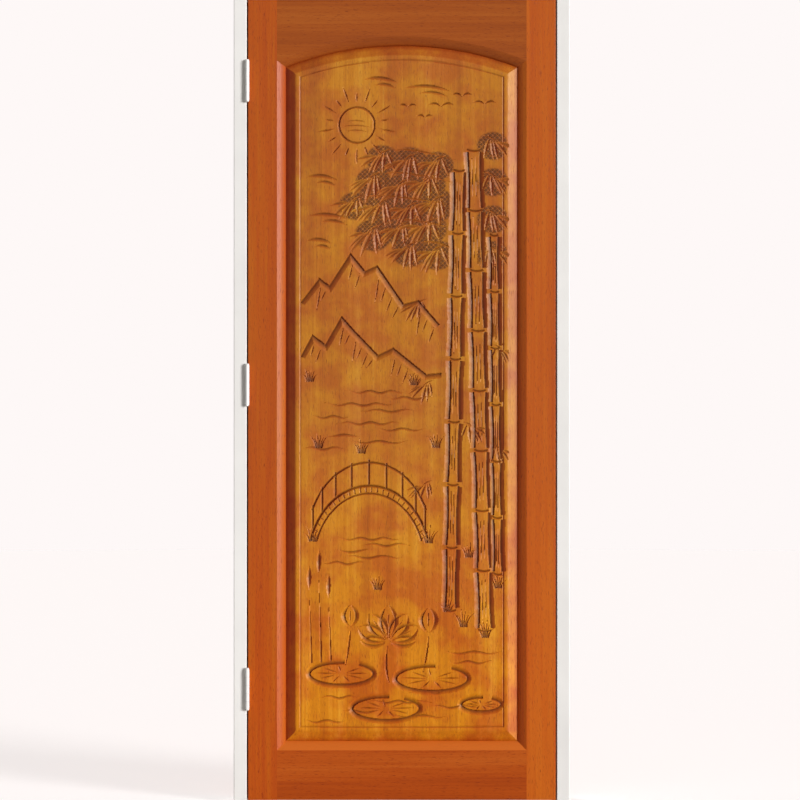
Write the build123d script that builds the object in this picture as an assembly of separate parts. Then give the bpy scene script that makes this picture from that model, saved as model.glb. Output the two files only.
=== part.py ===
from build123d import *
import math
import os

# Millimetres. X runs to the right of somebody who faces the carved side, Y away from them, Z up.
# The origin is on the floor, midway across the frame, and midway through its depth with the hinge knuckles.

# Door leaf
LEAF_WIDTH = 762.0
LEAF_HEIGHT = 1981.0
LEAF_THICKNESS = 44.0
STILE_FLAT = 72.0
BOTTOM_RAIL_FLAT = 123.0
TOP_RAIL_AT_CROWN = 90.0
ARCH_RADIUS = 822.0
ARRIS_RADIUS = 2.0

# Moulded inner edge of stiles and rails, with the groove that holds the panel
STICKING_WIDTH = 22.0
STICKING_DEPTH = 15.0
OVOLO_RADIUS = 54.0
GROOVE_WIDTH = 12.0

# Raised and fielded panel
TONGUE_REACH = 12.0
TONGUE_THICKNESS = 11.6
BEVEL_WIDTH = 25.0
FIELD_BELOW_FACE = 4.0

# Wedged through tenons of the rails, as (lowest, highest) above the foot of the leaf
TOP_TENON = (1846.0, 1936.0)
BOTTOM_TENON = (24.0, 102.0)
WEDGE_LENGTH = 60.0
WEDGE_RISE = 5.0

# Frame
JAMB_THICKNESS = 32.0
FRAME_DEPTH = 115.0
EDGE_GAP = 3.0
FLOOR_GAP = 6.0
HEAD_HOUSING = 12.0
STOP_THICKNESS = 12.0
STOP_WIDTH = 38.0
STOP_CLEARANCE = 1.0
FIXING_RADIUS = 3.0
FIXING_SINK_RADIUS = 6.0
FIXING_FROM_BACK = 16.0
LOWEST_FIXING = 200.0
FIXING_PITCH = 500.0
HEAD_SCREW_LENGTH = 60.0

# Butt hinges
HINGE_HEIGHT = 100.0
HINGE_TOP_MARGIN = 150.0
HINGE_FOOT_MARGIN = 225.0
PLATE_THICKNESS = 2.5
PLATE_REACH = 32.0
KNUCKLE_RADIUS = 5.5
KNUCKLE_COUNT = 5
KNUCKLE_PLAY = 0.3
PIN_RADIUS = 3.0
PIN_PLAY = 0.05
PIN_PROUD = 6.0
SCREW_HEAD_RADIUS = 4.1
SCREW_SHANK_RADIUS = 2.0
SCREW_LENGTH = 28.0

# Carving tools: how far a cut's wall spreads for each millimetre of depth
EVEN = 1.1
STEEP = 0.6
BROAD = 2.6
KEEL_RISE = 0.6
CURVE_POINTS = 5
FEW_POINTS = 3
ARC_STEP = 15.0
CARVING_BANDS = 7
BORDER_INSET = 11.0
BORDER_DEPTH = 2.5

# Carved sky: x from the middle of the panel, h above the foot of the leaf
SUN = (-112, 1672)
SUN_RADIUS = 44
SUN_RAYS = 18
MIST = ((64, 1764, 58), (-52, 1784, 44), (-198, 1542, 40), (-182, 1446, 54), (-204, 1384, 34))
BIRDS = ((96, 1716, 1), (148, 1742, 0.8), (14, 1716, 0.7), (204, 1722, 0.9), (56, 1690, 0.65))

# Carved mountains, as skylines from left to right
FAR_RIDGE = (
    (-250, 1232), (-205, 1290), (-180, 1272), (-128, 1352), (-92, 1308),
    (-62, 1322), (4, 1226), (40, 1236), (92, 1176),
)
NEAR_RIDGE = (
    (-250, 1098), (-222, 1150), (-190, 1126), (-150, 1196), (-118, 1160),
    (-60, 1100), (-22, 1118), (60, 1052), (98, 1056),
)
FAR_FALL = 74
NEAR_FALL = 62

# Carved bamboo: culms as foot, top and radius, and sprays as place, size and side
CULMS = (
    ((206, 420), (178, 1610), 13),
    ((120, 470), (142, 1560), 10.5),
    ((238, 560), (228, 1400), 7.5),
)
INTERNODE = 152
SPRAY_ROWS = (2, 3, 4, 3, 3)
FIRST_SPRAY = (112, 1376)
SPRAY_PITCH = (68, 57)
RIGHT_SPRAYS = (1376, 1464, 1556, 1646)
LOW_SPRAYS = (
    (80, 1040, -1), (78, 792, -1), (60, 1240, -1),
    (222, 1128, 1), (150, 936, 1), (220, 880, 1),
)
LEAVES_IN_SPRAY = 6
LEAF_LENGTH = 64

# Carved lake, footbridge and pond
FAR_WATER = (872, 1012, -250, 92, 10)
WATER_UNDER_BRIDGE = (588, 648, -200, 40, 5)
POND_WATER = (196, 268, -246, 246, 7)
POND_EDGE = (342, 366, 116, 246, 2)
RIPPLE_LENGTH = 62
BRIDGE = (-82, 588)
BRIDGE_SPAN = 152
BRIDGE_RISE = 190
RAIL_LIFT = 58
BRIDGE_POSTS = 9
BRIDGE_SLEEPERS = 26
TUFTS = (
    (206, 402, 1.1), (152, 428, 1), (112, 466, 0.9), (238, 524, 0.9), (-222, 640, 0.9), (66, 636, 1),
    (-100, 858, 0.8), (84, 872, 0.85), (-206, 872, 0.8), (166, 600, 0.8), (-60, 520, 0.8),
    (-228, 1036, 0.7), (30, 1028, 0.7),
)
BLADES_IN_TUFT = 6
LOTUS = (-34, 392)
LOTUS_PETALS = ((0, 92, 34), (34, 84, 34), (64, 84, 34), (88, 70, 20))
BUDS = ((-128, 424, 0.9), (66, 408, 1.05))
LILY_PADS = ((-150, 312, 78), (74, 300, 88), (-40, 226, 82), (196, 236, 48))
REEDS = ((-230, 520), (-206, 560), (-182, 500))

# Places worked out from the sizes above
FACE_Y = -(FRAME_DEPTH + PIN_PROUD + KNUCKLE_RADIUS) / 2 + PIN_PROUD + KNUCKLE_RADIUS
LEAF_MIDDLE_Y = FACE_Y + LEAF_THICKNESS / 2
FRAME_MIDDLE_Y = FACE_Y + FRAME_DEPTH / 2
LEAF_TOP = FLOOR_GAP + LEAF_HEIGHT
FLAT_X = LEAF_WIDTH / 2 - STILE_FLAT
SIGHT_X = FLAT_X - STICKING_WIDTH
BOTTOM_FLAT_Z = FLOOR_GAP + BOTTOM_RAIL_FLAT
BOTTOM_SIGHT_Z = BOTTOM_FLAT_Z + STICKING_WIDTH
ARCH_CENTRE_Z = LEAF_TOP - TOP_RAIL_AT_CROWN - ARCH_RADIUS
ARCH_AXIS = Axis((0, 0, ARCH_CENTRE_Z), (0, 1, 0))
CLEAR_X = LEAF_WIDTH / 2 + EDGE_GAP
FRAME_X = CLEAR_X + JAMB_THICKNESS
HEAD_Z = LEAF_TOP + EDGE_GAP
FRAME_TOP = HEAD_Z + JAMB_THICKNESS
PIN_X = -LEAF_WIDTH / 2 - EDGE_GAP / 2
PIN_Y = FACE_Y - PIN_PROUD
FIELD_Y = FACE_Y + FIELD_BELOW_FACE


def face_plane(y):
    """Upright plane across the door at this Y, drawn in X and Z, whose extrusions grow towards the viewer."""
    return Plane(origin=(0, y, 0), x_dir=(1, 0, 0), z_dir=(0, -1, 0))


def slab(outline, front, thickness):
    """Solid of an outline drawn in X and Z, from its front face backwards."""
    return extrude(face_plane(front + thickness) * outline, thickness)


def arc_height(radius, x):
    """Height of an arch of this radius, struck from the common centre, at x."""
    return ARCH_CENTRE_Z + math.sqrt(radius**2 - x**2)


def arched_outline(half_width, foot, radius):
    """Upright outline with a straight foot and sides and an arched top."""
    corner = (half_width, arc_height(radius, half_width))
    left = (-corner[0], corner[1])
    crown = (0, ARCH_CENTRE_Z + radius)
    sides = Polyline(left, (-half_width, foot), (half_width, foot), corner)
    return make_face(sides + ThreePointArc(corner, crown, left))


def moulded_section(flat, arris):
    """Section of a stile or rail: u from the start of its moulding, v down through its thickness.

    On each side the flat breaks into a shallow ovolo that falls to the sight line, over the groove.
    """
    back, width, deep = LEAF_THICKNESS, STICKING_WIDTH, STICKING_DEPTH
    lip = (back - GROOVE_WIDTH) / 2
    front_ovolo = RadiusArc((0, 0), (width, deep), -OVOLO_RADIUS)
    back_ovolo = RadiusArc((width, back - deep), (0, back), -OVOLO_RADIUS)
    groove = Polyline(
        (width, deep), (width, lip), (0, lip), (0, back - lip), (width, back - lip), (width, back - deep)
    )
    front, rear = Line((arris - flat, 0), (0, 0)), Line((0, back), (arris - flat, back))
    outer = RadiusArc((arris - flat, back), (-flat, back - arris), -arris)
    outer += Line((-flat, back - arris), (-flat, arris))
    outer += RadiusArc((-flat, arris), (arris - flat, 0), -arris)
    return make_face(front + front_ovolo + groove + back_ovolo + rear + outer)


def top_rail_bounds():
    """Ground that the top rail takes between the stiles, down to the mitres of its moulding."""
    flat_z = arc_height(ARCH_RADIUS, FLAT_X)
    sight_z = arc_height(ARCH_RADIUS - STICKING_WIDTH, SIGHT_X)
    mitre_fall = (flat_z - sight_z) / STICKING_WIDTH
    point = (0, sight_z - SIGHT_X * mitre_fall)
    right = [(SIGHT_X, sight_z), (FLAT_X, flat_z), (FLAT_X, LEAF_TOP)]
    left = [(-x, z) for x, z in reversed(right)]
    outline = make_face(Polyline(point, *right, *left, point))
    return slab(outline, FACE_Y, LEAF_THICKNESS)


def bottom_rail_bounds():
    """Ground that the bottom rail takes between the stiles, up to the mitres of its moulding."""
    point = (0, BOTTOM_SIGHT_Z + SIGHT_X)
    right = [(FLAT_X, BOTTOM_FLAT_Z), (FLAT_X, FLOOR_GAP)]
    left = [(-x, z) for x, z in reversed(right)]
    outline = make_face(Polyline(point, *right, *left, point))
    return slab(outline, FACE_Y, LEAF_THICKNESS)


def tenons(levels):
    """The two through tenons of a rail, out to the stiles' outer edges."""
    low, high = (FLOOR_GAP + level for level in levels)
    tenon = Box(STILE_FLAT, GROOVE_WIDTH, high - low)
    middle = FLAT_X + STILE_FLAT / 2
    places = [(side * middle, LEAF_MIDDLE_Y, (low + high) / 2) for side in (-1, 1)]
    return [Pos(*place) * tenon for place in places]


def wedges(levels):
    """The four wedges of a rail, thick end outwards, above and below each tenon."""
    outer = LEAF_WIDTH / 2
    low, high = (FLOOR_GAP + level for level in levels)
    found = []
    for side in (-1, 1):
        for edge, rise in ((low, -WEDGE_RISE), (high, WEDGE_RISE)):
            corners = [(side * outer, edge), (side * (outer - WEDGE_LENGTH), edge)]
            outline = make_face(Polyline(*corners, (side * outer, edge + rise), corners[0]))
            found.append(slab(outline, LEAF_MIDDLE_Y - GROOVE_WIDTH / 2, GROOVE_WIDTH))
    return found


def stile():
    """The left stile before it is let in for hinges: a moulded length, mitred and mortised for the rails."""
    section = moulded_section(STILE_FLAT, ARRIS_RADIUS)
    plane = Plane(origin=(-FLAT_X, FACE_Y, FLOOR_GAP), x_dir=(1, 0, 0), z_dir=(0, 0, 1))
    length = extrude(plane * section, LEAF_HEIGHT)
    mortises = tenons(TOP_TENON) + tenons(BOTTOM_TENON) + wedges(TOP_TENON) + wedges(BOTTOM_TENON)
    return length - [top_rail_bounds(), bottom_rail_bounds(), *mortises]


def bottom_rail():
    """A straight moulded length between the stiles, with its tenons."""
    section = moulded_section(BOTTOM_RAIL_FLAT, ARRIS_RADIUS)
    plane = Plane(origin=(FLAT_X, FACE_Y, BOTTOM_FLAT_Z), x_dir=(0, 0, 1), z_dir=(-1, 0, 0))
    length = extrude(plane * section, 2 * FLAT_X)
    return (length & bottom_rail_bounds()) + tenons(BOTTOM_TENON)


def top_rail():
    """A board with an arched underside, whose moulding is the straight one turned about the arch's centre."""
    under = arched_outline(FLAT_X, BOTTOM_SIGHT_Z, ARCH_RADIUS)
    board = slab(Pos(0, LEAF_TOP / 2) * Rectangle(2 * FLAT_X, LEAF_TOP) - under, FACE_Y, LEAF_THICKNESS)
    shallow = STICKING_WIDTH
    plane = Plane(
        origin=(0, FACE_Y, ARCH_CENTRE_Z + ARCH_RADIUS), x_dir=(0, 0, -1), z_dir=(1, 0, 0)
    )
    half_turn = math.degrees(math.asin(FLAT_X / ARCH_RADIUS)) + 1
    section = (plane * moulded_section(shallow, ARRIS_RADIUS / 2)).rotate(ARCH_AXIS, -half_turn)
    moulding = revolve(section, ARCH_AXIS, 2 * half_turn)
    rail = (board + moulding) & top_rail_bounds()
    return rail + tenons(TOP_TENON)


def panel():
    """The raised and fielded panel: a thin tongue all round, a wide bevel each side and a thick field."""
    sight_radius = ARCH_RADIUS - STICKING_WIDTH
    tongue = slab(
        arched_outline(
            SIGHT_X + TONGUE_REACH, BOTTOM_SIGHT_Z - TONGUE_REACH, sight_radius + TONGUE_REACH
        ),
        LEAF_MIDDLE_Y - TONGUE_THICKNESS / 2,
        TONGUE_THICKNESS,
    )
    sight = arched_outline(SIGHT_X, BOTTOM_SIGHT_Z, sight_radius)
    field = arched_outline(
        SIGHT_X - BEVEL_WIDTH, BOTTOM_SIGHT_Z + BEVEL_WIDTH, sight_radius - BEVEL_WIDTH
    )
    thickness = LEAF_THICKNESS - 2 * FIELD_BELOW_FACE
    body = tongue + slab(field, FACE_Y + FIELD_BELOW_FACE, thickness)
    for side in (-1, 1):
        low = face_plane(LEAF_MIDDLE_Y + side * TONGUE_THICKNESS / 2) * sight
        high = face_plane(LEAF_MIDDLE_Y + side * thickness / 2) * field
        body += loft([low, high], ruled=True)
    return body


def facets(sections, ends):
    """Corners of each face of a solid that runs through sections of three points, in order round the section.

    Where the keel is level a wall is flat between two sections, and elsewhere it is split into two triangles.
    """
    level = ends in ("square", "closed")
    found = []
    for first, second in zip(sections, sections[1:]):
        for i in range(3):
            a, b, c, d = first[i - 1], first[i], second[i], second[i - 1]
            found += [(a, b, c, d)] if level else [(a, b, c), (a, c, d)]
    if ends != "closed":
        found += [sections[0], sections[-1]]
    return [corners for corners in found if len(set(corners)) == len(corners)]


def cut(path, depth, left=EVEN, right=EVEN, ends="tapered"):
    """One pass of a V tool along a path on the field, as the solid that it takes away.

    The keel lies at the depth, and the walls spread left and right by so many times the depth. At tapered
    ends the keel comes up out of the wood, and from a rooted start it rises all the way to the far end.
    """
    count = len(path) - 1
    steps = [Vector(*b) - Vector(*a) for a, b in zip(path, path[1:])]
    steps = [step.normalized() for step in steps]
    sections = []
    for i, (x, h) in enumerate(path):
        share = i / count
        before, after = steps[max(i - 1, 0)], steps[min(i, count - 1)]
        if ends == "closed" and i in (0, count):
            before, after = steps[-1], steps[0]
        keel = depth
        if ends == "tapered":
            keel = depth * math.sin(math.pi * share) ** 0.8 if 0 < i < count else -KEEL_RISE
        if ends == "rooted":
            keel = depth * (1 - share**1.5) if i < count else -KEEL_RISE
        ahead = (before + after).normalized()
        spread = (keel + KEEL_RISE) / ahead.dot(after)
        section = []
        for reach, y in ((left, -KEEL_RISE), (0, keel), (-right, -KEEL_RISE)):
            aside, up = -ahead.Y * reach * spread, ahead.X * reach * spread
            section.append((x + aside, FIELD_Y + y, FLOOR_GAP + h + up))
        sections.append(tuple(section))
    if ends == "closed":
        sections[-1] = sections[0]
    walls = [Face(Wire.make_polygon(corners)) for corners in facets(sections, ends)]
    return Solid(Shell(walls))


def polar(centre, angle, reach):
    """The point at this angle, in degrees, and distance from a centre."""
    turn = math.radians(angle)
    return (centre[0] + reach * math.cos(turn), centre[1] + reach * math.sin(turn))


def between(start, end, share):
    """The point this share of the way from start to end."""
    return tuple(a + share * (b - a) for a, b in zip(start, end))


def line(start, end):
    """Points of a straight stroke."""
    return [start, between(start, end, 0.5), end]


def bow(start, bend, end, points=CURVE_POINTS):
    """Points of a smooth stroke from start to end, drawn towards bend on the way."""
    shares = [i / (points - 1) for i in range(points)]
    return [between(between(start, bend, s), between(bend, end, s), s) for s in shares]


def oval_point(centre, half_width, half_height, angle):
    """The point of an ellipse at this angle, in degrees."""
    turn = math.radians(angle)
    return (centre[0] + half_width * math.cos(turn), centre[1] + half_height * math.sin(turn))


def sweep_round(centre, half_width, half_height, first, last):
    """Points of an arc of an ellipse, by angle in degrees."""
    count = 1 + round(abs(last - first) / ARC_STEP)
    turns = [first + (last - first) * i / count for i in range(count + 1)]
    return [oval_point(centre, half_width, half_height, turn) for turn in turns]


def wave(start, length, rise):
    """Points of a rippling stroke, three to each ripple."""
    count = 3 * max(1, round(length / RIPPLE_LENGTH))
    x, h = start
    turns = [2 * math.pi / 3 * i + h for i in range(count + 1)]
    return [(x + i / count * length, h + rise * math.sin(turn)) for i, turn in enumerate(turns)]


def sun():
    """A round cut with rays of two lengths, and three cuts of haze across the disc."""
    x, h = SUN
    found = [cut(sweep_round(SUN, SUN_RADIUS, SUN_RADIUS, 0, 360), 3, ends="closed")]
    for i in range(SUN_RAYS):
        angle = 360 * (i + 0.5) / SUN_RAYS
        reach = (1.85, 2.25)[i % 2] * SUN_RADIUS
        found.append(cut(line(polar(SUN, angle, 1.28 * SUN_RADIUS), polar(SUN, angle, reach)), 2.6))
    for rise, half in ((-16, 30), (-4, 36), (8, 26)):
        haze = bow((x - half, h + rise), (x, h + rise + 7), (x + half, h + rise - 2), FEW_POINTS)
        found.append(cut(haze, 1.6))
    return found


def mist():
    """Pairs of long slanting cuts, steep on one side only."""
    found = []
    for x, h, half in MIST:
        upper = bow((x - half, h), (x, h + 18), (x + half, h - 9))
        lower = bow((x - 0.4 * half, h - 14), (x + 0.3 * half, h), (x + 0.9 * half, h - 24))
        found += [cut(upper, 3.4, STEEP, BROAD), cut(lower, 2.8, STEEP, BROAD)]
    return found


def birds():
    """Far birds, each two bowed cuts that meet at the body."""
    found = []
    for x, h, size in BIRDS:
        for side in (-size, size):
            bend, tip = (x + 14 * side, h + 17 * size), (x + 32 * side, h + 5 * size)
            found.append(cut(bow((x, h), bend, tip, FEW_POINTS), 3))
    return found


def ridge(outline, fall):
    """A mountain's skyline as a stop cut, with strokes down the slopes that face right."""
    found = [cut(outline, 4.6, STEEP, BROAD, ends="square")]
    for start, end in zip(outline, outline[1:]):
        count = round((end[0] - start[0]) / 15) if end[1] < start[1] else 0
        for i in range(count):
            share = (i + 0.45) / count
            x, h = between(start, end, share)
            length = fall * (1 - 0.5 * share) * (0.8 + 0.2 * math.sin(9.1 * i + start[0]))
            found.append(cut(line((x - 2, h - 14), (x - 12 - 3 * i, h - 14 - length)), 2.2))
    return found


def culm(foot, top, radius):
    """A bamboo culm: hollow-sided lengths between stop cuts, with two flutes each, and a ring at joints."""
    found = []
    height = top[1] - foot[1]
    count = round(height / INTERNODE)
    for i in range(count):
        low = between(foot, top, i / count + 5 / height)
        high = between(foot, top, (i + 1) / count - 5 / height)
        waist = between(low, high, 0.5)
        for side, left, right in ((-1, BROAD, STEEP), (1, STEEP, BROAD)):
            ends = [(x + side * (radius + 2.2), h) for x, h in (low, high)]
            edge = bow(ends[0], (waist[0] + side * (radius - 2.4), waist[1]), ends[1], FEW_POINTS)
            found.append(cut(edge, 4.4, left, right, ends="square"))
        for offset in (-0.35 * radius, 0.3 * radius):
            found.append(cut(line((low[0] + offset, low[1] + 6), (high[0] + offset, high[1] - 10)), 1.2))
    for i in range(count + 1):
        x, h = between(foot, top, i / count)
        reach = radius + 3.5
        ring = bow((x - reach, h + 1), (x, h - 6), (x + reach, h + 1), FEW_POINTS)
        found.append(cut(ring, 3.2, ends="square"))
    return found


def leaf(root, angle, size):
    """One slender leaf, as a wide V cut that arches a little."""
    length = LEAF_LENGTH * size
    tip = polar(root, angle, length)
    middle = between(root, tip, 0.5)
    arch = bow(root, (middle[0], middle[1] + 0.12 * length), tip, FEW_POINTS)
    return cut(arch, 2.6, 2.4 * size, 2.4 * size)


def spray(x, h, size, side):
    """A drooping twig to one side, and leaves that fan from its end back along it until they hang."""
    tip = (x + 40 * side * size, h - 20 * size)
    found = [cut(bow((x, h), (x + 22 * side * size, h - 3 * size), tip, FEW_POINTS), 2)]
    for i in range(LEAVES_IN_SPRAY):
        share = i / (LEAVES_IN_SPRAY - 1)
        fall = 14 + 92 * share + 7 * math.sin(4.3 * i + x + h)
        angle = -fall if side > 0 else 180 + fall
        length = size * (0.82 + 0.2 * math.sin(math.pi * share) + 0.1 * math.sin(5.3 * i + x))
        found.append(leaf(between((x, h), tip, 1 - 0.62 * share), angle, length))
    return found


def foliage():
    """Sprays in staggered rows on branches left of the culms, then to their right, and a few lower down."""
    found = []
    for row, count in enumerate(SPRAY_ROWS):
        h = FIRST_SPRAY[1] + row * SPRAY_PITCH[1]
        for i in range(count):
            x = FIRST_SPRAY[0] - i * SPRAY_PITCH[0] - 22 * (row % 2)
            size = 1 + 0.08 * math.sin(3.1 * i + row)
            found += spray(x, h + 10 * math.sin(2.2 * i + row), size, -1)
        found.append(cut(bow((140, h - 20), (x + 40, h + 16), (x, h + 4)), 2.4))
    for h in RIGHT_SPRAYS:
        found += spray(202, h, 0.92, 1)
    for x, h, side in LOW_SPRAYS:
        found += spray(x, h, 0.75, side)
    return found


def ripples(low, high, left, right, rows):
    """Rows of rippling cuts of uneven length between two heights and two sides."""
    found = []
    for i in range(rows):
        length = 80 + 110 * ((0.38 * i + 0.3) % 1)
        start = left + (right - left - length) * ((0.62 * i) % 1)
        h = low + (high - low) * i / (rows - 1)
        found.append(cut(wave((start, h), length, 3), 2.4, STEEP, BROAD))
    return found


def bridge():
    """An arched footbridge: two bowed beams with sleepers between them, and posts under a bowed rail."""
    x, h = BRIDGE
    rail = sweep_round((x, h + RAIL_LIFT), BRIDGE_SPAN, BRIDGE_RISE, 158, 22)
    found = [cut(rail, 3.4, ends="square")]
    for share, depth in ((1, 4.2), (0.9, 3)):
        beam = sweep_round(BRIDGE, share * BRIDGE_SPAN, share * BRIDGE_RISE, 162, 18)
        found.append(cut(beam, depth, ends="square"))
    for i in range(BRIDGE_POSTS):
        foot = oval_point(BRIDGE, BRIDGE_SPAN, BRIDGE_RISE, 156 - 16.5 * i)
        found.append(cut([foot, (foot[0], foot[1] + RAIL_LIFT + 6)], 3.4, ends="square"))
    for i in range(BRIDGE_SLEEPERS):
        ends = [oval_point(BRIDGE, s * BRIDGE_SPAN, s * BRIDGE_RISE, 160 - 5.6 * i) for s in (0.92, 0.98)]
        found.append(cut(ends, 1.8, ends="square"))
    return found


def tuft(x, h, size):
    """A tuft of grass: blades that fan out from one root, deepest at the root."""
    found = []
    for i in range(BLADES_IN_TUFT):
        lean = 2 * i / (BLADES_IN_TUFT - 1) - 1
        tall = size * (46 - 14 * abs(lean) + 6 * math.sin(3.7 * i + x))
        root, tip = (x + 7 * lean, h), (x + 30 * lean * size, h + tall)
        blade = bow(root, (x + 9 * lean, h + tall / 2 + 6), tip, FEW_POINTS)
        found.append(cut(blade, 3, ends="rooted"))
    return found


def petal(root, angle, length, width):
    """A pointed petal: two stop cuts that bow out and meet at the tip, and a vein."""
    tip, start = polar(root, angle, length), polar(root, angle, 0.06 * length)
    found = [cut(line(polar(root, angle, 0.3 * length), polar(root, angle, 0.8 * length)), 1.8)]
    for side, left, right in ((-1, STEEP, BROAD), (1, BROAD, STEEP)):
        bend = polar(polar(root, angle, 0.55 * length), angle + 90, side * width)
        found.append(cut(bow(start, bend, tip), 3.8, left, right))
    return found


def lotus():
    """An open flower of seven petals on its stalk, and two buds."""
    x, h = LOTUS
    found = [cut(bow((x, h - 6), (x - 12, h - 62), (x + 4, h - 106)), 3.2)]
    for lean, length, width in LOTUS_PETALS:
        for angle in sorted({90 - lean, 90 + lean}):
            found += petal(LOTUS, angle, length, width)
    for x, h, size in BUDS:
        found += petal((x, h), 90, 66 * size, 30 * size)
        found.append(cut(bow((x, h), (x - 2, h - 40), (x - 14 * size, h - 96)), 3))
    return found


def lily_pad(x, h, half_width):
    """A floating round leaf seen aslant, with a notch and veins."""
    half_height = half_width / 3
    edge = sweep_round((x, h), half_width, half_height, 84, 416)
    found = [cut(edge, 4.2, STEEP, BROAD, ends="square")]
    for i in range(9):
        ends = [oval_point((x, h), s * half_width, s * half_height, 96 + 38.5 * i) for s in (0.16, 0.86)]
        found.append(cut(line(*ends), 2))
    return found


def reed(x, h):
    """A bulrush: a long stalk under a spindle."""
    stalk = cut(bow((x + 6, 340), (x + 4, (340 + h) / 2), (x, h - 2)), 2.6, ends="rooted")
    return [stalk, cut(line((x, h), (x + 1, h + 62)), 3.4, 1.9, 1.9)]


def scenery():
    """Every cut of the scene, from the sky down to the pond."""
    found = sun() + mist() + birds() + ridge(FAR_RIDGE, FAR_FALL) + ridge(NEAR_RIDGE, NEAR_FALL)
    for foot, top, radius in CULMS:
        found += culm(foot, top, radius)
    found += foliage() + bridge() + lotus()
    for water in (FAR_WATER, WATER_UNDER_BRIDGE, POND_WATER, POND_EDGE):
        found += ripples(*water)
    for x, h, size in TUFTS:
        found += tuft(x, h, size)
    for x, h, half_width in LILY_PADS:
        found += lily_pad(x, h, half_width)
    for x, h in REEDS:
        found += reed(x, h)
    return found


def border_line():
    """The V line round the field, between two bevelled outlines that meet at its keel."""
    inset = BEVEL_WIDTH + BORDER_INSET
    rise = BORDER_DEPTH + KEEL_RISE

    def outline(extra, y):
        half, foot = SIGHT_X - inset - extra, BOTTOM_SIGHT_Z + inset + extra
        return face_plane(y) * arched_outline(half, foot, ARCH_RADIUS - STICKING_WIDTH - inset - extra)

    keel = outline(0, FIELD_Y + BORDER_DEPTH)
    outer, inner = (loft([keel, outline(extra, FIELD_Y - KEEL_RISE)], ruled=True) for extra in (-rise, rise))
    return outer - inner


def carved_panel():
    """The panel with the V line and the scene cut into its front, in bands that are then joined again."""
    plain = panel() - border_line()
    box = plain.bounding_box()
    height = box.size.Z / CARVING_BANDS
    cuts = [(piece, piece.bounding_box()) for piece in scenery()]
    bands = []
    for i in range(CARVING_BANDS):
        low, high = box.min.Z + i * height, box.min.Z + (i + 1) * height
        band = plain & Pos(0, LEAF_MIDDLE_Y, (low + high) / 2) * Box(LEAF_WIDTH, LEAF_THICKNESS, height)
        bands.append(band - [piece for piece, room in cuts if room.min.Z < high and room.max.Z > low])
    return bands[0] + bands[1:]


def jamb():
    """The left upright of the frame: a plain board with eased arrises and countersunk wall screw holes."""
    section = fillet(Rectangle(JAMB_THICKNESS, FRAME_DEPTH).vertices(), ARRIS_RADIUS)
    x = -CLEAR_X - JAMB_THICKNESS / 2
    board = extrude(Pos(x, FRAME_MIDDLE_Y, 0) * section, HEAD_Z + HEAD_HOUSING)
    y = FACE_Y + FRAME_DEPTH - FIXING_FROM_BACK
    heights = [LOWEST_FIXING + i * FIXING_PITCH for i in range(4)]
    profile = Polyline(
        (0, 0),
        (FIXING_SINK_RADIUS, 0),
        (FIXING_RADIUS, FIXING_RADIUS - FIXING_SINK_RADIUS),
        (FIXING_RADIUS, -JAMB_THICKNESS),
        (0, -JAMB_THICKNESS),
        (0, 0),
    )
    drill = revolve(Plane.XZ * make_face(profile), Axis.Z)
    holes = [Pos(-CLEAR_X, y, z) * Rot(0, 90, 0) * drill for z in heights]
    return board - holes


def frame_head():
    """The board across the top of the frame, housed over the tops of both jambs."""
    section = fillet(Rectangle(FRAME_DEPTH, JAMB_THICKNESS).vertices(), ARRIS_RADIUS)
    plane = Plane(
        origin=(-FRAME_X, FRAME_MIDDLE_Y, HEAD_Z + JAMB_THICKNESS / 2), x_dir=(0, 1, 0), z_dir=(1, 0, 0)
    )
    board = extrude(plane * section, 2 * FRAME_X)
    housing = Box(JAMB_THICKNESS, FRAME_DEPTH, HEAD_HOUSING, align=(Align.CENTER, Align.CENTER, Align.MIN))
    middle = CLEAR_X + JAMB_THICKNESS / 2
    return board - [Pos(side * middle, FRAME_MIDDLE_Y, HEAD_Z) * housing for side in (-1, 1)]


def stop_section():
    """Section of the planted stops, standing on the frame, with two eased arrises."""
    plain = Pos(0, STOP_THICKNESS / 2) * Rectangle(STOP_WIDTH, STOP_THICKNESS)
    return fillet(plain.vertices().sort_by(Axis.Y)[-2:], ARRIS_RADIUS)


def upright_stop():
    """The stop on the left jamb, from the floor to the frame head."""
    y = FACE_Y + LEAF_THICKNESS + STOP_CLEARANCE + STOP_WIDTH / 2
    plane = Plane(origin=(-CLEAR_X, y, 0), x_dir=(0, -1, 0), z_dir=(0, 0, 1))
    return extrude(plane * stop_section(), HEAD_Z)


def head_stop():
    """The stop under the frame head, between the upright stops."""
    y = FACE_Y + LEAF_THICKNESS + STOP_CLEARANCE + STOP_WIDTH / 2
    start = STOP_THICKNESS - CLEAR_X
    plane = Plane(origin=(start, y, HEAD_Z), x_dir=(0, -1, 0), z_dir=(1, 0, 0))
    return extrude(plane * stop_section(), -2 * start)


def wood_screw(length):
    """A countersunk screw with a slotted head, head up and its face on the plane z = 0."""
    neck = SCREW_SHANK_RADIUS - SCREW_HEAD_RADIUS
    profile = Polyline(
        (0, 0),
        (SCREW_HEAD_RADIUS, 0),
        (SCREW_SHANK_RADIUS, neck),
        (SCREW_SHANK_RADIUS, 2 * SCREW_SHANK_RADIUS - length),
        (0, -length),
        (0, 0),
    )
    turned = revolve(Plane.XZ * make_face(profile), Axis.Z)
    return turned - Box(2 * SCREW_HEAD_RADIUS, SCREW_SHANK_RADIUS / 2, SCREW_SHANK_RADIUS / 2)


def head_screws():
    """Two screws down through the head into the top of each jamb."""
    screw = wood_screw(HEAD_SCREW_LENGTH)
    x = CLEAR_X + JAMB_THICKNESS / 2
    places = [(side * x, FRAME_MIDDLE_Y + step * FRAME_DEPTH / 4) for side in (-1, 1) for step in (-1, 1)]
    return [Pos(*place, FRAME_TOP) * screw for place in places]


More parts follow.
